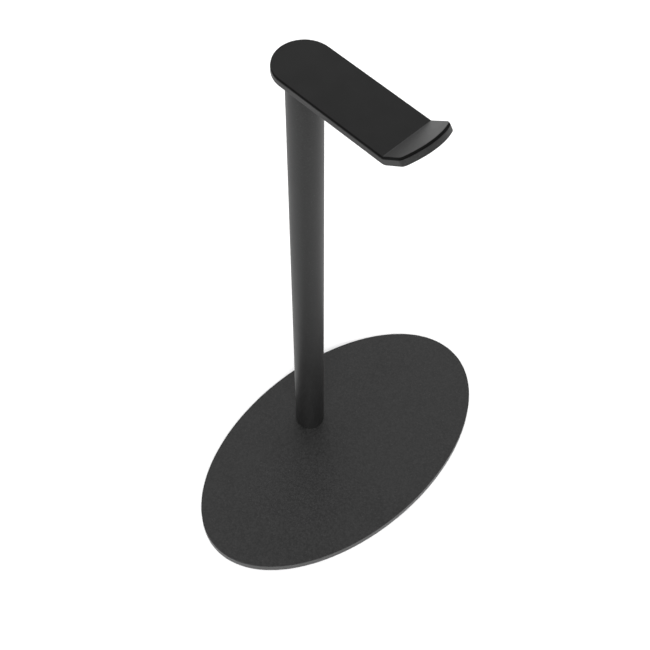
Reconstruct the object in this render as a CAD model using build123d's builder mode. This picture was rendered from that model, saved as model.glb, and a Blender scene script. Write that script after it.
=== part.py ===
"""Desktop headphone stand: an oval steel base, a slim round post set behind its middle, and a flat
cantilevered arm with an upturned front lip and a thin silicone pad.

Frame: millimetres, +Z up, origin on the desk under the middle of the oval base.
The arm points to -Y (front), and the oval's long axis runs along X.
"""

import math
import os

from build123d import *

# --- base ---------------------------------------------------------------------------------------
BASE_LENGTH = 173.8  # long axis of the oval, along X
BASE_WIDTH = 102.2  # short axis of the oval, along Y
BASE_THICKNESS = 4.0
BASE_EDGE_RADIUS = 0.2  # rounding that the powder coat leaves on the cut edge

# --- feet ---------------------------------------------------------------------------------------
FOOT_COUNT = 6
FOOT_DIAMETER = 10.0
FOOT_THICKNESS = 1.8
FOOT_EDGE_RADIUS = 0.5
FOOT_RIM_MARGIN = 12.0  # from the oval's edge in to the feet's centres
FOOT_FIRST_ANGLE = 30.0  # degrees round the oval, from +X
FOOT_FILM_DIAMETER = 9.4
FOOT_FILM_THICKNESS = 0.2

# --- post ---------------------------------------------------------------------------------------
POST_Y = 22.7  # post axis, behind the middle of the base
POST_DIAMETER = 15.0
POST_WALL = 1.5
POST_LENGTH = 255.4
POST_END_CHAMFER = 0.2

# --- inserts pressed into the ends of the post ---------------------------------------------------
LOWER_INSERT_LENGTH = 22.0
UPPER_INSERT_LENGTH = 18.0
INSERT_CHAMFER = 0.8
THREAD_CLEARANCE = 0.1  # on diameter, between a plain tapped hole and the screw's crests

# --- arm ----------------------------------------------------------------------------------------
ARM_WIDTH = 25.2
ARM_THICKNESS = 2.5
ARM_REACH = 52.0  # post axis to the start of the bend
BEND_INNER_RADIUS = 1.6  # top side of the plate
LIP_ANGLE = 35.0
LIP_SIDE_LENGTH = 9.8  # flat of the lip past the bend, at its side edges
LIP_MIDDLE_LENGTH = 13.9  # and at the middle of its curved front
LIP_CORNER_RADIUS = 2.7
ARM_EDGE_RADIUS = 0.2

# --- pad ----------------------------------------------------------------------------------------
FILM_THICKNESS = 0.1
FILM_INSET = 1.0
PAD_THICKNESS = 1.0
PAD_INSET = 0.05
PAD_EDGE_RADIUS = 0.4

# --- fasteners: ISO 10642 countersunk screws with a hexagon socket, and a dowel pin ---------------
BASE_SCREW = {"d": 5.0, "length": 20.0, "pitch": 0.8, "head": 9.6, "hex": 3.0, "socket": 1.9}
ARM_SCREW = {"d": 3.0, "length": 10.0, "pitch": 0.5, "head": 5.8, "hex": 2.0, "socket": 1.1}
ARM_SCREW_SPACING = 7.0
SCREW_HOLE_CLEARANCE = 0.4  # on diameter, in the plates
SCREW_HEAD_RIM = 0.3  # height of the head's edge above its cone
COUNTERSINK_CLEARANCE = 0.04  # on diameter, round the head's cone
THREAD_DEPTH = 0.61  # of the pitch
HEAD_ANGLE = 90.0
PIN_DIAMETER = 2.0
PIN_LENGTH = 5.0
PIN_RADIUS_FROM_AXIS = 4.4
PIN_DEPTH_IN_BASE = 1.8
PIN_CHAMFER = 0.2
PIN_END_CLEARANCE = 0.3

# --- levels worked out from the dimensions above ---------------------------------------------------
BASE_BOTTOM = FOOT_THICKNESS + FOOT_FILM_THICKNESS
BASE_TOP = BASE_BOTTOM + BASE_THICKNESS
POST_TOP = BASE_TOP + POST_LENGTH
ARM_TOP = POST_TOP + ARM_THICKNESS
BORE_DIAMETER = POST_DIAMETER - 2 * POST_WALL
BEND_Y = POST_Y - ARM_REACH
BEND_CENTRE_Z = ARM_TOP + BEND_INNER_RADIUS
LIP_ANGLE_RAD = math.radians(LIP_ANGLE)
LIP_NORMAL = (0, math.sin(LIP_ANGLE_RAD), math.cos(LIP_ANGLE_RAD))
BROAD_FACE_NORMAL_Z = 0.7  # a bent layer's broad faces lean less than this, its end faces more

os.makedirs("parts", exist_ok=True)


def save(part, name):
    """Labels one finished sub-part and writes it as its own STEP file."""
    part.label = name
    export_step(part, f"parts/{name}.step")


def rim_edges(part, upward):
    """The outline edges of a bent layer: those that only one of its broad faces on that side has."""
    sign = 1 if upward else -1
    broad = part.faces().filter_by(lambda face: sign * face.normal_at().Z > BROAD_FACE_NORMAL_Z)
    counted = [edge for face in broad for edge in face.edges()]
    return [edge for edge in counted if sum(edge.is_same(other) for other in counted) == 1]


def add_arm_layer(height, thickness, inset):
    """Adds to the open BuildPart one layer of the arm's stack: flat, bend and lip, pulled in by inset.
    Height is from the underside of the arm plate to the underside of the layer."""
    half_width = ARM_WIDTH / 2 - inset
    radius = BEND_CENTRE_Z - POST_TOP - height  # the bend radius of the layer's underside
    floor = POST_TOP + height

    with BuildSketch(Plane.XY.offset(floor)) as flat:
        with BuildLine():
            Polyline((-half_width, POST_Y), (-half_width, BEND_Y), (half_width, BEND_Y), (half_width, POST_Y))
            ThreePointArc((half_width, POST_Y), (0, POST_Y + half_width), (-half_width, POST_Y))
        make_face()
    extrude(flat.sketch, amount=thickness)

    bend_section = Plane(origin=(0, BEND_Y, floor), x_dir=(1, 0, 0), z_dir=(0, -1, 0))
    with BuildSketch(bend_section) as section:
        Rectangle(2 * half_width, thickness, align=(Align.CENTER, Align.MIN))
    bend_axis = Axis((0, BEND_Y, BEND_CENTRE_Z), (-1, 0, 0))
    revolve(section.sketch, axis=bend_axis, revolution_arc=LIP_ANGLE)

    # the lip's outline is drawn in the lip's own plane, so its edges are square to the sheet
    lip_start = (
        0,
        BEND_Y - radius * math.sin(LIP_ANGLE_RAD),
        BEND_CENTRE_Z - radius * math.cos(LIP_ANGLE_RAD),
    )
    side = -LIP_SIDE_LENGTH
    middle = -LIP_MIDDLE_LENGTH
    bow = (ARM_WIDTH / 2) ** 2 + (middle - side) ** 2
    front_radius = bow / (2 * (side - middle))
    front_centre = middle + front_radius
    inset_front_radius = front_radius - inset
    corner = front_centre - math.sqrt(inset_front_radius**2 - half_width**2)
    with BuildSketch(Plane(origin=lip_start, x_dir=(1, 0, 0), z_dir=LIP_NORMAL)) as lip:
        with BuildLine():
            Polyline((-half_width, corner), (-half_width, 0), (half_width, 0), (half_width, corner))
            ThreePointArc(
                (half_width, corner), (0, front_centre - inset_front_radius), (-half_width, corner)
            )
        make_face()
        fillet(lip.vertices().group_by(Axis.Y)[0], LIP_CORNER_RADIUS - inset)
    extrude(lip.sketch, amount=thickness)


def countersink_radius(screw):
    """Mouth of the countersink in which a screw's head sits flush."""
    return (screw["head"] + COUNTERSINK_CLEARANCE) / 2 + SCREW_HEAD_RIM


def screw_outline(screw):
    """Half section of a countersunk screw, head up, with its top at z = 0 and ring-shaped thread grooves."""
    crest = screw["d"] / 2 - THREAD_CLEARANCE / 2
    root = crest - THREAD_DEPTH * screw["pitch"]
    head_radius = screw["head"] / 2
    cone_height = (head_radius - crest) / math.tan(math.radians(HEAD_ANGLE / 2))
    head_height = SCREW_HEAD_RIM + cone_height
    shank_end = -head_height - screw["pitch"]
    grooves = int((screw["length"] + shank_end - screw["pitch"]) / screw["pitch"])
    points = [(0, 0), (head_radius, 0), (head_radius, -SCREW_HEAD_RIM), (crest, -head_height)]
    for i in range(grooves):
        top = shank_end - i * screw["pitch"]
        points += [(crest, top), (root, top - screw["pitch"] / 2)]
    points += [(crest, shank_end - grooves * screw["pitch"])]
    points += [(root, -screw["length"]), (0, -screw["length"])]
    return points


def add_screw(screw, plane, centres):
    """Adds to the open BuildPart screws whose heads lie in the plane and point along its normal."""
    outline = screw_outline(screw)
    for x, y in centres:
        seat = plane.shift_origin(plane.from_local_coords(Vector(x, y, 0)))
        upright = Plane(origin=seat.origin, x_dir=seat.x_dir, z_dir=seat.y_dir * -1)
        with BuildSketch(upright) as half_section:
            with BuildLine():
                Polyline(*outline, close=True)
            make_face()
        revolve(half_section.sketch, axis=Axis(seat.origin, seat.z_dir))
        with BuildSketch(seat) as socket:
            RegularPolygon(screw["hex"] / 2, 6, major_radius=False)
        extrude(socket.sketch, amount=-screw["socket"], mode=Mode.SUBTRACT)


def foot_centres():
    """Centres of the feet, spaced round an oval inside the edge of the base."""
    half_length = BASE_LENGTH / 2 - FOOT_RIM_MARGIN
    half_width = BASE_WIDTH / 2 - FOOT_RIM_MARGIN
    for i in range(FOOT_COUNT):
        angle = math.radians(FOOT_FIRST_ANGLE + i * 360 / FOOT_COUNT)
        yield half_length * math.cos(angle), half_width * math.sin(angle)


# --- base plate -----------------------------------------------------------------------------------
post_foot = Plane(origin=(0, POST_Y, BASE_TOP))
base_underside = Plane(origin=(0, POST_Y, BASE_BOTTOM), x_dir=(1, 0, 0), z_dir=(0, 0, -1))
pin_centre = (0, -PIN_RADIUS_FROM_AXIS)

with BuildPart() as base_plate:
    with BuildSketch(Plane.XY.offset(BASE_BOTTOM)):
        Ellipse(BASE_LENGTH / 2, BASE_WIDTH / 2)
    extrude(amount=BASE_THICKNESS)
    rims = base_plate.edges().group_by(Axis.Z)
    fillet(rims[0] + rims[-1], BASE_EDGE_RADIUS)
    with Locations(base_underside):
        CounterSinkHole(
            radius=(BASE_SCREW["d"] + SCREW_HOLE_CLEARANCE) / 2,
            counter_sink_radius=countersink_radius(BASE_SCREW),
            depth=BASE_THICKNESS,
            counter_sink_angle=HEAD_ANGLE,
        )
    with BuildSketch(post_foot):
        with Locations(pin_centre):
            Circle(PIN_DIAMETER / 2)
    extrude(amount=-PIN_DEPTH_IN_BASE, mode=Mode.SUBTRACT)
save(base_plate.part, "base_plate")

# --- feet -----------------------------------------------------------------------------------------
for number, centre in enumerate(foot_centres(), start=1):
    with BuildPart() as rubber_foot:
        with BuildSketch():
            with Locations(centre):
                Circle(FOOT_DIAMETER / 2)
        extrude(amount=FOOT_THICKNESS)
        fillet(rubber_foot.edges().sort_by(Axis.Z)[0], FOOT_EDGE_RADIUS)
    save(rubber_foot.part, f"rubber_foot_{number}")

    with BuildPart() as foot_film:
        with BuildSketch(Plane.XY.offset(FOOT_THICKNESS)):
            with Locations(centre):
                Circle(FOOT_FILM_DIAMETER / 2)
        extrude(amount=FOOT_FILM_THICKNESS)
    save(foot_film.part, f"foot_adhesive_{number}")

# --- post -----------------------------------------------------------------------------------------
with BuildPart() as post_tube:
    with BuildSketch(post_foot):
        Circle(POST_DIAMETER / 2)
        Circle(BORE_DIAMETER / 2, mode=Mode.SUBTRACT)
    extrude(amount=POST_LENGTH)
    ends = post_tube.edges().group_by(Axis.Z)
    chamfer(ends[0] + ends[-1], POST_END_CHAMFER)
save(post_tube.part, "post_tube")

with BuildPart() as lower_insert:
    with BuildSketch(post_foot):
        Circle(BORE_DIAMETER / 2)
    extrude(amount=LOWER_INSERT_LENGTH)
    chamfer(lower_insert.edges().sort_by(Axis.Z)[-1], INSERT_CHAMFER)
    with Locations(post_foot):
        Hole(BASE_SCREW["d"] / 2)
    with BuildSketch(post_foot):
        with Locations(pin_centre):
            Circle(PIN_DIAMETER / 2)
    extrude(amount=PIN_LENGTH - PIN_DEPTH_IN_BASE + PIN_END_CLEARANCE, mode=Mode.SUBTRACT)
save(lower_insert.part, "lower_insert")

with BuildPart() as upper_insert:
    with BuildSketch(Plane(origin=(0, POST_Y, POST_TOP))):
        Circle(BORE_DIAMETER / 2)
    extrude(amount=-UPPER_INSERT_LENGTH)
    chamfer(upper_insert.edges().sort_by(Axis.Z)[0], INSERT_CHAMFER)
    with Locations((0, POST_Y, POST_TOP)):
        with GridLocations(0, ARM_SCREW_SPACING, 1, 2):
            Hole(ARM_SCREW["d"] / 2)
save(upper_insert.part, "upper_insert")

# --- fasteners at the foot of the post --------------------------------------------------------------
with BuildPart() as base_screw:
    add_screw(BASE_SCREW, base_underside, [(0, 0)])
save(base_screw.part, "base_screw")

with BuildPart() as locating_pin:
    with BuildSketch(post_foot.offset(-PIN_DEPTH_IN_BASE)):
        with Locations(pin_centre):
            Circle(PIN_DIAMETER / 2)
    extrude(amount=PIN_LENGTH)
    chamfer(locating_pin.edges().filter_by(GeomType.CIRCLE), PIN_CHAMFER)
save(locating_pin.part, "locating_pin")

# --- arm plate --------------------------------------------------------------------------------------
arm_screw_centres = [(0, -ARM_SCREW_SPACING / 2), (0, ARM_SCREW_SPACING / 2)]
arm_topside = Plane(origin=(0, POST_Y, ARM_TOP))

with BuildPart() as arm_plate:
    add_arm_layer(height=0, thickness=ARM_THICKNESS, inset=0)
    fillet(rim_edges(arm_plate.part, upward=False), ARM_EDGE_RADIUS)
    fillet(rim_edges(arm_plate.part, upward=True), ARM_EDGE_RADIUS)
    with Locations(arm_topside):
        with Locations(*arm_screw_centres):
            CounterSinkHole(
                radius=(ARM_SCREW["d"] + SCREW_HOLE_CLEARANCE) / 2,
                counter_sink_radius=countersink_radius(ARM_SCREW),
                depth=ARM_THICKNESS,
                counter_sink_angle=HEAD_ANGLE,
            )
save(arm_plate.part, "arm_plate")

with BuildPart() as arm_screws:
    add_screw(ARM_SCREW, arm_topside, arm_screw_centres)
save(arm_screws.part, "arm_screws")

# --- pad and the film that holds it -----------------------------------------------------------------
with BuildPart() as pad_adhesive:
    add_arm_layer(height=ARM_THICKNESS, thickness=FILM_THICKNESS, inset=FILM_INSET)
save(pad_adhesive.part, "pad_adhesive")

with BuildPart() as silicone_pad:
    add_arm_layer(height=ARM_THICKNESS + FILM_THICKNESS, thickness=PAD_THICKNESS, inset=PAD_INSET)
    fillet(rim_edges(silicone_pad.part, upward=True), PAD_EDGE_RADIUS)
save(silicone_pad.part, "silicone_pad")
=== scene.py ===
"""The headphone stand's looks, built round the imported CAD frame.

The frame is in metres, +Z up, with its origin on the desk under the middle of the oval base.
The arm points to -Y, and the oval's long axis runs along X.
"""

import math

import bmesh
import bpy
from mathutils import Matrix, Vector, noise

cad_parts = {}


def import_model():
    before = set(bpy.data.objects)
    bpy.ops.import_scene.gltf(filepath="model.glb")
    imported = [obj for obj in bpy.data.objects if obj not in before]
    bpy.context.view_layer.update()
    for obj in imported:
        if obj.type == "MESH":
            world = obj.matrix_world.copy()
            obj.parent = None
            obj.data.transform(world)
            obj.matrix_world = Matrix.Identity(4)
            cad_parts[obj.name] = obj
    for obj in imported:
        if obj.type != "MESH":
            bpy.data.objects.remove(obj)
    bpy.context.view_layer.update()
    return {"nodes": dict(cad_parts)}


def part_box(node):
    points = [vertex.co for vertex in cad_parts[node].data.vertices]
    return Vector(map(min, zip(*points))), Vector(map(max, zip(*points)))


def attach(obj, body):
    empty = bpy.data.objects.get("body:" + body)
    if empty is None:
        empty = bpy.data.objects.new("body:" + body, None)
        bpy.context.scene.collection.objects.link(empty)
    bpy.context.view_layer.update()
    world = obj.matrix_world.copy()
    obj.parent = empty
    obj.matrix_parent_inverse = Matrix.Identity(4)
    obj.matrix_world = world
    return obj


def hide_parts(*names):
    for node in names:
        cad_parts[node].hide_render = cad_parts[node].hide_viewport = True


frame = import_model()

BODY = "root"
MM = 0.001

# --- camera: the viewing angle of a product shot from above the front left ----------------------
CAMERA_PLACE = Vector((-0.22430, -0.21874, 0.57677))
CAMERA_HEADING = math.radians(44.288)  # from +Y towards +X
CAMERA_DOWNWARD_TILT = math.radians(55.667)
CAMERA_ROLL = math.radians(0.226)
CAMERA_LENS_MM = 67.00
CAMERA_CLIP_START = 0.01
SENSOR_WIDTH_MM = 36.0

# --- arm and pad, as in the CAD -----------------------------------------------------------------
ARM_REACH = 52.0 * MM  # post axis to the start of the bend
LIP_ANGLE = math.radians(35.0)
LIP_SIDE_LENGTH = 9.8 * MM  # flat of the lip past the bend, at its side edges
LIP_MIDDLE_LENGTH = 13.9 * MM  # and at the middle of its curved front
LIP_CORNER_RADIUS = 2.7 * MM
PAD_THICKNESS = 1.0 * MM
PAD_TOP_BEND_RADIUS = 0.5 * MM
# the pad's edge from its underside up: how far in from the arm's outline, in mm, and how high, as a
# part of the pad's thickness
PAD_EDGE = [(0.20, 0.0), (0.08, 0.03), (0.05, 0.10), (0.13, 0.45), (0.22, 0.76)]
PAD_EDGE += [(0.28, 0.89), (0.37, 0.97), (0.50, 1.0)]
PAD_TOP_INSETS = [0.7, 1.1, 2.0, 3.4, 5.0, 7.0, 9.5, 12.2]  # rings of the flat top, in mm
PAD_SHADED_CUT_EDGE_RINGS = 5  # the lowest rings, up to the rounding, which the die cut and left dull, and which carry the painted shade
PAD_WAVINESS = 0.012 * MM  # how far the top sags, in soft waves
PAD_WAVE_LENGTH = 18 * MM
PAD_SMALLEST_CORNER = 0.1 * MM  # corner radius that the innermost rings keep
# points along half of the pad's outline, from the post axis to the middle of the front
FLAT_ROWS, BEND_ROWS, LIP_ROWS, CORNER_STEPS, FRONT_STEPS = 12, 10, 4, 6, 12
SIDE_POINTS = FLAT_ROWS + BEND_ROWS + LIP_ROWS + CORNER_STEPS + FRONT_STEPS
BACK_STEPS = 24

# --- feet ---------------------------------------------------------------------------------------
# half section of a foot: radius and height, in mm, from the dimple under it round to its top
FOOT_SECTION = [(0.0, 0.16), (1.5, 0.15), (1.8, 0.08), (2.05, 0.01), (2.3, 0.0), (4.35, 0.0)]
FOOT_SECTION += [(4.62, 0.05), (4.83, 0.18), (4.95, 0.40), (5.0, 0.75), (4.93, 1.45), (4.86, 1.70)]
FOOT_SECTION += [(4.74, 1.79), (4.5, 1.8), (0.0, 1.8)]
FOOT_SIDES = 72
FOOT_COUNT = 6

# --- studio -------------------------------------------------------------------------------------
FLOOR_RADIUS = 3.0
FLOOR_SIDES = 128
FLOOR_TONE = 0.92
WALL_BRIGHTNESS = 1.15
CEILING_BRIGHTNESS = 0.58


def put_in_scene(name, data):
    """Makes an object out of a mesh, a light or a camera and links it to the scene."""
    made = bpy.data.objects.new(name, data)
    bpy.context.scene.collection.objects.link(made)
    return made


def make_camera():
    """The camera looks down at the stand, turned about its own axis by a small roll."""
    data = bpy.data.cameras.new("camera")
    data.sensor_width = SENSOR_WIDTH_MM
    data.lens = CAMERA_LENS_MM
    data.clip_start = CAMERA_CLIP_START
    camera = put_in_scene("camera", data)
    turn = Matrix.Rotation(-CAMERA_HEADING, 4, "Z")
    turn = turn @ Matrix.Rotation(math.pi / 2 - CAMERA_DOWNWARD_TILT, 4, "X")
    turn = turn @ Matrix.Rotation(CAMERA_ROLL, 4, "Z")
    camera.matrix_world = Matrix.Translation(CAMERA_PLACE) @ turn
    bpy.context.scene.camera = camera


# --- shader helpers -----------------------------------------------------------------------------
# sockets of Blender's colour mix node, which share their names with those for other data
MIX_FACTOR, MIX_A, MIX_B, MIX_RESULT = 0, 6, 7, 2


class Shader:
    """Writes one material's node tree. Each method adds a node and gives back its main output."""

    def __init__(self, name, **principled):
        self.material = bpy.data.materials.new(name)
        self.material.use_nodes = True
        self.tree = self.material.node_tree
        self.principled = self.tree.nodes["Principled BSDF"]
        for socket, value in principled.items():
            self.principled.inputs[socket.replace("_", " ")].default_value = value
        self.place = self.node("ShaderNodeTexCoord").outputs["Object"]

    def node(self, kind, **settings):
        new = self.tree.nodes.new(kind)
        for name, value in settings.items():
            setattr(new, name, value)
        return new

    def wire(self, value, socket):
        if isinstance(value, bpy.types.NodeSocket):
            self.tree.links.new(value, socket)
        else:
            socket.default_value = value

    def noise(self, size, detail=2.0, roughness=0.5, place=None):
        """Smooth noise whose features are about size metres wide."""
        new = self.node("ShaderNodeTexNoise")
        new.inputs["Scale"].default_value = 1 / size
        new.inputs["Detail"].default_value = detail
        new.inputs["Roughness"].default_value = roughness
        self.wire(place or self.place, new.inputs["Vector"])
        return new.outputs["Fac"]

    def cells(self, size):
        """Distance to the nearest of scattered points about size metres apart."""
        new = self.node("ShaderNodeTexVoronoi")
        new.inputs["Scale"].default_value = 1 / size
        self.wire(self.place, new.inputs["Vector"])
        return new.outputs["Distance"]

    def ramp(self, value, low, high, to_low=0.0, to_high=1.0):
        """Maps low..high to to_low..to_high, and holds the ends."""
        new = self.node("ShaderNodeMapRange", interpolation_type="SMOOTHSTEP")
        self.wire(value, new.inputs["Value"])
        ends = {"From Min": low, "From Max": high, "To Min": to_low, "To Max": to_high}
        for name, number in ends.items():
            new.inputs[name].default_value = number
        return new.outputs["Result"]

    def math(self, operation, a, b=0.0):
        """One step of arithmetic on one or two values."""
        new = self.node("ShaderNodeMath", operation=operation)
        self.wire(a, new.inputs[0])
        self.wire(b, new.inputs[1])
        return new.outputs[0]

    def mix(self, factor, a, b):
        """Colour a where factor is 0 and colour b where it is 1."""
        new = self.node("ShaderNodeMix", data_type="RGBA")
        self.wire(factor, new.inputs[MIX_FACTOR])
        self.wire(a, new.inputs[MIX_A])
        self.wire(b, new.inputs[MIX_B])
        return new.outputs[MIX_RESULT]

    def axes(self, centre):
        """The x, y and z of the place, measured from centre."""
        shift = self.node("ShaderNodeVectorMath", operation="SUBTRACT")
        self.wire(self.place, shift.inputs[0])
        shift.inputs[1].default_value = centre
        split = self.node("ShaderNodeSeparateXYZ")
        self.wire(shift.outputs[0], split.inputs[0])
        return split.outputs[0], split.outputs[1], split.outputs[2]

    def bump(self, height, depth, strength, normal=None):
        """Relief depth metres high, on top of the relief that normal already has."""
        new = self.node("ShaderNodeBump")
        new.inputs["Strength"].default_value = strength
        new.inputs["Distance"].default_value = depth
        self.wire(height, new.inputs["Height"])
        if normal:
            self.wire(normal, new.inputs["Normal"])
        return new.outputs["Normal"]

    def finish(self, color, roughness, normal=None):
        """Connects the results to the shader and gives back the material."""
        self.wire(color, self.principled.inputs["Base Color"])
        self.wire(roughness, self.principled.inputs["Roughness"])
        if normal:
            self.wire(normal, self.principled.inputs["Normal"])
        return self.material


def grey(level, tint=(1.0, 1.0, 1.0)):
    """A grey of that brightness, tinted a little."""
    return (level * tint[0], level * tint[1], level * tint[2], 1.0)


# --- materials ----------------------------------------------------------------------------------
def powder_coat(name, pale, shine, roughness):
    """Satin black powder coat with a fine sand finish: small raised grains, each a little paler.
    Pale is the grains' tone, and the brightest specks, painted glints of grains that catch the
    light, have three times that."""
    s = Shader(name, Specular_IOR_Level=shine)
    dust = s.noise(0.4 * MM, detail=3.0, roughness=0.65)
    grain = s.noise(0.8 * MM, detail=2.0, roughness=0.6)
    cloud = s.noise(45 * MM, detail=3.0, roughness=0.6)
    specks = s.ramp(s.cells(1.5 * MM), 0.10, 0.20, 1.0, 0.0)
    tone = s.mix(s.ramp(grain, 0.34, 0.66), grey(0.002), grey(pale))
    tone = s.mix(s.ramp(cloud, 0.25, 0.75, 0.0, 0.25), tone, grey(pale))
    # painted highlight: the brightest specks are lightened as glints where grains catch the light
    painted_glint = s.math("MULTIPLY", specks, s.ramp(dust, 0.35, 0.65, 0.2, 0.9))
    tone = s.mix(painted_glint, tone, grey(3 * pale))
    uneven = s.math("ADD", grain, s.math("MULTIPLY", cloud, 0.5))
    rough = s.ramp(uneven, 0.5, 1.0, roughness - 0.03, roughness + 0.03)
    relief = s.bump(grain, 0.03 * MM, 0.4)
    relief = s.bump(dust, 0.02 * MM, 0.5, relief)
    return s.finish(tone, rough, relief)


def silicone():
    """Black moulded silicone: smooth and matt, with a faint bloom and a very fine mould grain."""
    s = Shader("silicone", Specular_IOR_Level=0.25)
    grain = s.noise(0.12 * MM, detail=2.0)
    bloom = s.noise(14 * MM, detail=4.0, roughness=0.6)
    tone = s.mix(s.ramp(bloom, 0.3, 0.7), grey(0.003), grey(0.0045))
    tone = s.mix(s.ramp(grain, 0.35, 0.75, 0.0, 0.3), tone, grey(0.006))
    rough = s.ramp(bloom, 0.3, 0.7, 0.37, 0.42)
    return s.finish(tone, rough, s.bump(grain, 0.004 * MM, 0.5))


def shaded_cut_silicone():
    """The pad's die-cut edge: dull, with fine marks across its thickness, and darker than the top,
    which paints in the shade of the narrow gap between the pad and the arm plate.
    """
    s = Shader("silicone_cut_edge_painted_shade", Specular_IOR_Level=0.06)
    grain = s.noise(0.1 * MM, detail=3.0)
    streak = s.noise(0.8 * MM, detail=2.0)
    tone = s.mix(s.ramp(grain, 0.3, 0.7), grey(0.001), grey(0.003))
    tone = s.mix(s.ramp(streak, 0.4, 0.8, 0.0, 0.4), tone, grey(0.004))
    return s.finish(tone, s.ramp(grain, 0.3, 0.7, 0.7, 0.85), s.bump(grain, 0.01 * MM, 0.5))


def rubber():
    """Moulded rubber feet: dull and a little dusty."""
    s = Shader("rubber", Specular_IOR_Level=0.35)
    grain = s.noise(0.3 * MM, detail=4.0, roughness=0.7)
    dust = s.noise(4 * MM, detail=4.0, roughness=0.7)
    tone = s.mix(s.ramp(grain, 0.3, 0.7), grey(0.013), grey(0.022))
    tone = s.mix(s.ramp(dust, 0.45, 0.8, 0.0, 0.5), tone, grey(0.07, (1.0, 0.97, 0.92)))
    rough = s.ramp(grain, 0.3, 0.7, 0.72, 0.86)
    return s.finish(tone, rough, s.bump(grain, 0.02 * MM, 0.6))


def turned_steel(name, level, roughness, axis):
    """Lathe-turned steel: fine rings about axis, a point that the rings go round."""
    s = Shader(name, Metallic=1.0)
    x, y, z = s.axes(axis)
    radius = s.math("SQRT", s.math("ADD", s.math("MULTIPLY", x, x), s.math("MULTIPLY", y, y)))
    across = s.node("ShaderNodeCombineXYZ")
    s.wire(radius, across.inputs[0])
    s.wire(z, across.inputs[2])
    rings = s.noise(0.12 * MM, detail=2.0, place=across.outputs[0])
    stain = s.noise(3 * MM, detail=4.0, roughness=0.6)
    bright = grey(level * 1.15, (1.0, 1.0, 1.02))
    tone = s.mix(s.ramp(rings, 0.3, 0.7), grey(level * 0.8), bright)
    tone = s.mix(s.ramp(stain, 0.5, 0.8, 0.0, 0.4), tone, grey(level * 0.6, (1.05, 1.0, 0.92)))
    rough = s.ramp(s.math("ADD", rings, stain), 0.6, 1.4, roughness * 0.8, roughness * 1.2)
    return s.finish(tone, rough, s.bump(rings, 0.006 * MM, 0.5))


def adhesive():
    """Clear double-sided film, dulled by fine bubbles."""
    s = Shader("adhesive_film", Specular_IOR_Level=0.5)
    bubbles = s.ramp(s.cells(0.7 * MM), 0.15, 0.3, 1.0, 0.0)
    haze = s.noise(3 * MM, detail=3.0)
    yellowed, clear = grey(0.55, (1.0, 0.98, 0.9)), grey(0.68, (1.0, 0.99, 0.93))
    tone = s.mix(s.ramp(haze, 0.3, 0.7), yellowed, clear)
    tone = s.mix(s.math("MULTIPLY", bubbles, 0.5), tone, grey(0.8))
    return s.finish(tone, s.ramp(haze, 0.3, 0.7, 0.35, 0.5), s.bump(bubbles, 0.01 * MM, 0.4))


def backdrop(name, level):
    """Seamless studio paper."""
    s = Shader(name, Specular_IOR_Level=0.1)
    fibre = s.noise(1.5 * MM, detail=4.0, roughness=0.6)
    cloud = s.noise(0.6, detail=2.0)
    tone = s.mix(s.ramp(fibre, 0.3, 0.7), grey(level * 0.992), grey(level))
    tone = s.mix(s.ramp(cloud, 0.3, 0.7, 0.0, 0.3), tone, grey(level * 0.985))
    return s.finish(tone, s.ramp(fibre, 0.3, 0.7, 0.85, 0.95))


def paint(node, material):
    """Gives a CAD node one material."""
    mesh = frame["nodes"][node].data
    mesh.materials.clear()
    mesh.materials.append(material)


# --- pieces -------------------------------------------------------------------------------------
def new_piece(name, shape, materials, replaced):
    """Turns a finished shape into a smooth piece, in place of the CAD node it stands for."""
    bmesh.ops.recalc_face_normals(shape, faces=shape.faces)
    mesh = bpy.data.meshes.new(name)
    shape.to_mesh(mesh)
    shape.free()
    for polygon in mesh.polygons:
        polygon.use_smooth = True
    for material in materials:
        mesh.materials.append(material)
    piece = put_in_scene(name, mesh)
    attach(piece, BODY)
    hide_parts(replaced)
    return piece


def steps(start, end, count):
    """Count evenly spaced values from start, stopping one step before end."""
    return [start + (end - start) * i / count for i in range(count)]


def pad_ring(half_arm, inset):
    """Outline of the flat pad, pulled in by inset from the arm's, as (across, along) points: up
    the right side from the post axis, round the front, down the left side and round the back."""
    half = half_arm - inset
    rise = LIP_MIDDLE_LENGTH - LIP_SIDE_LENGTH
    front_radius = (half_arm**2 + rise**2) / (2 * rise)
    lip_start = ARM_REACH + PAD_TOP_BEND_RADIUS * LIP_ANGLE
    centre = lip_start + LIP_MIDDLE_LENGTH - front_radius
    front = front_radius - inset
    corner = max(LIP_CORNER_RADIUS - inset, PAD_SMALLEST_CORNER)
    corner_x = half - corner
    corner_y = centre + math.sqrt((front - corner) ** 2 - corner_x**2)
    corner_turn = math.atan2(corner_y - centre, corner_x)

    rows = steps(0, ARM_REACH, FLAT_ROWS) + steps(ARM_REACH, lip_start, BEND_ROWS)
    rows += steps(lip_start, corner_y, LIP_ROWS)
    right = [(half, along) for along in rows]
    for turn in steps(0, corner_turn, CORNER_STEPS):
        right.append((corner_x + corner * math.cos(turn), corner_y + corner * math.sin(turn)))
    for turn in steps(corner_turn, math.pi / 2, FRONT_STEPS):
        right.append((front * math.cos(turn), centre + front * math.sin(turn)))
    middle = [(0.0, centre + front)]
    left = [(-across, along) for across, along in reversed(right)]
    turns = steps(math.pi, 2 * math.pi, BACK_STEPS)[1:]
    back = [(half * math.cos(turn), half * math.sin(turn)) for turn in turns]
    return right + middle + left + back


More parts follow.
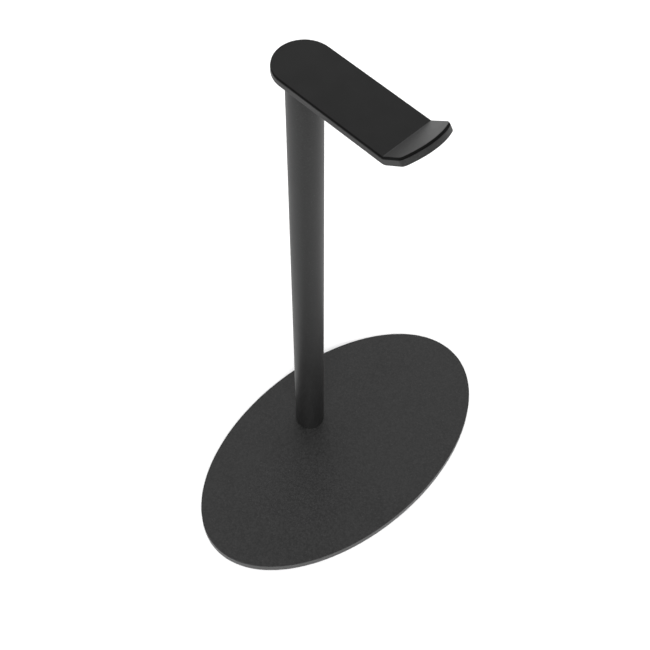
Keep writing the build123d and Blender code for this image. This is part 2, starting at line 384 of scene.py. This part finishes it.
def bend(post_y, floor_z, across, along, height):
    """Where a point of the flat pad goes on the bent arm. floor_z is the level of the pad's
    underside, and height is measured from there."""
    turn = min(max(along - ARM_REACH, 0) / PAD_TOP_BEND_RADIUS, LIP_ANGLE)
    underside_radius = PAD_TOP_BEND_RADIUS + PAD_THICKNESS
    radius = underside_radius - height
    flat = min(along, ARM_REACH)
    past = max(along - ARM_REACH - PAD_TOP_BEND_RADIUS * LIP_ANGLE, 0)
    y = post_y - flat - radius * math.sin(turn) - past * math.cos(turn)
    z = floor_z + underside_radius - radius * math.cos(turn) + past * math.sin(turn)
    return Vector((across, y, z))


def close_across(shape, loop):
    """Fills a pad ring with faces that run from its right side straight across to its left."""
    middle = SIDE_POINTS  # the ring's frontmost point
    for i in range(middle):
        across = [loop[i], loop[i + 1], loop[2 * middle - i - 1], loop[2 * middle - i]]
        shape.faces.new(dict.fromkeys(across))
    shape.faces.new(loop[2 * middle:] + [loop[0]])


def head_pad(material, shaded_edge_material):
    """The thin silicone pad: flat, bend and lip, with sides that slope in to a rounded top edge."""
    arm_low, arm_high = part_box("arm_plate")
    pad_low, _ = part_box("silicone_pad")
    half_arm = (arm_high.x - arm_low.x) / 2
    post_y = arm_high.y - half_arm
    rings = [(inset * MM, height * PAD_THICKNESS) for inset, height in PAD_EDGE]
    rings += [(inset * MM, PAD_THICKNESS) for inset in PAD_TOP_INSETS]
    shape = bmesh.new()
    loops = []
    for inset, height in rings:
        loop = []
        for across, along in pad_ring(half_arm, inset):
            wave = noise.noise(Vector((across, along, 0)) / PAD_WAVE_LENGTH) - 1
            sag = PAD_WAVINESS * wave if height == PAD_THICKNESS else 0
            loop.append(shape.verts.new(bend(post_y, pad_low.z, across, along, height + sag)))
        loops.append(loop)
    for number, (outer, inner) in enumerate(zip(loops, loops[1:])):
        for i in range(len(outer)):
            j = (i + 1) % len(outer)
            face = shape.faces.new((outer[i], outer[j], inner[j], inner[i]))
            # the edge rings take the darker material that paints in the shade of the gap under the
            # pad
            face.material_index = int(number < PAD_SHADED_CUT_EDGE_RINGS)
    close_across(shape, loops[0])
    close_across(shape, loops[-1])
    materials = [material, shaded_edge_material]
    piece = new_piece("head_pad", shape, materials, "silicone_pad")


def rubber_foot(number, material):
    """One moulded bumper, with a dimple under it, rounded shoulders and a slight taper."""
    low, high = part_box(f"rubber_foot_{number}")
    centre = (low + high) / 2
    shape = bmesh.new()
    rings = []
    for radius, height in FOOT_SECTION:
        count = FOOT_SIDES if radius else 1
        turns = [2 * math.pi * i / count for i in range(count)]
        ring = []
        for turn in turns:
            x = centre.x + radius * MM * math.cos(turn)
            y = centre.y + radius * MM * math.sin(turn)
            ring.append(shape.verts.new((x, y, low.z + height * MM)))
        rings.append(ring)
    for lower, upper in zip(rings, rings[1:]):
        for i in range(FOOT_SIDES):
            j = (i + 1) % FOOT_SIDES
            below = [lower[i % len(lower)], lower[j % len(lower)]]
            above = [upper[j % len(upper)], upper[i % len(upper)]]
            shape.faces.new(dict.fromkeys(below + above))
    new_piece(f"foot_{number}", shape, [material], f"rubber_foot_{number}")


# --- light --------------------------------------------------------------------------------------
def area_light(name, place, target, size, power):
    """A rectangular softbox that faces target."""
    data = bpy.data.lights.new(name, "AREA")
    data.shape = "RECTANGLE"
    data.size, data.size_y = size
    data.energy = power
    light = put_in_scene(name, data)
    light.location = place
    light.rotation_euler = (Vector(place) - Vector(target)).to_track_quat("Z", "Y").to_euler()


def sun_light(name, towards, width, strength):
    """Even light out of the direction towards. Width is the lamp's apparent angle."""
    data = bpy.data.lights.new(name, "SUN")
    data.angle = width
    data.energy = strength
    light = put_in_scene(name, data)
    light.rotation_euler = Vector(towards).to_track_quat("Z", "Y").to_euler()


def world(horizon, zenith):
    """A white studio whose walls are brighter than its ceiling."""
    new = bpy.data.worlds.new("studio")
    new.use_nodes = True
    tree = new.node_tree
    direction = tree.nodes.new("ShaderNodeTexCoord").outputs["Generated"]
    split = tree.nodes.new("ShaderNodeSeparateXYZ")
    level = tree.nodes.new("ShaderNodeMapRange")
    level.inputs["To Min"].default_value = horizon
    level.inputs["To Max"].default_value = zenith
    tree.links.new(direction, split.inputs[0])
    tree.links.new(split.outputs[2], level.inputs["Value"])
    tree.links.new(level.outputs["Result"], tree.nodes["Background"].inputs["Strength"])
    tree.nodes["Background"].inputs["Color"].default_value = (1, 1, 1, 1)
    bpy.context.scene.world = new


def floor(radius, tone):
    """A round sheet of studio paper under the stand."""
    mesh = bpy.data.meshes.new("floor")
    shape = bmesh.new()
    bmesh.ops.create_circle(shape, cap_ends=True, radius=radius, segments=FLOOR_SIDES)
    shape.to_mesh(mesh)
    shape.free()
    mesh.materials.append(backdrop("paper", tone))
    piece = put_in_scene("floor", mesh)


# --- the stand ----------------------------------------------------------------------------------
make_camera()
# one powder coat in three copies whose tone and shine differ, paler and shinier on the base, darker
# on the arm and darkest on the tube: painted light and shade on each part
paint("base_plate", powder_coat("powder_coat_base", pale=0.011, shine=0.54, roughness=0.45))
paint("arm_plate", powder_coat("powder_coat_arm", pale=0.009, shine=0.385, roughness=0.51))
paint("post_tube", powder_coat("powder_coat_tube", pale=0.008, shine=0.355, roughness=0.51))
head_pad(silicone(), shaded_cut_silicone())
low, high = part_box("post_tube")
post_axis = ((low.x + high.x) / 2, (low.y + high.y) / 2, 0)
zinc = turned_steel("turned_steel", level=0.6, roughness=0.3, axis=post_axis)
for name in ("lower_insert", "upper_insert", "locating_pin"):
    paint(name, zinc)
oxide = turned_steel("black_oxide", level=0.12, roughness=0.35, axis=post_axis)
for name in ("base_screw", "arm_screws"):
    paint(name, oxide)
film = adhesive()
for name in frame["nodes"]:
    if "adhesive" in name:
        paint(name, film)
foot_rubber = rubber()
for number in range(1, FOOT_COUNT + 1):
    rubber_foot(number, foot_rubber)

# --- the studio ---------------------------------------------------------------------------------
floor(FLOOR_RADIUS, FLOOR_TONE)
world(WALL_BRIGHTNESS, CEILING_BRIGHTNESS)
sun_light("overhead", towards=(-0.9, -0.9, 1.8), width=math.radians(30), strength=2.75)
area_light("back_right", place=(1.1, 1.6, 0.35), target=(0, 0, 0.2), size=(1.2, 0.7), power=2.0)
bpy.context.scene.view_settings.view_transform = "Standard"
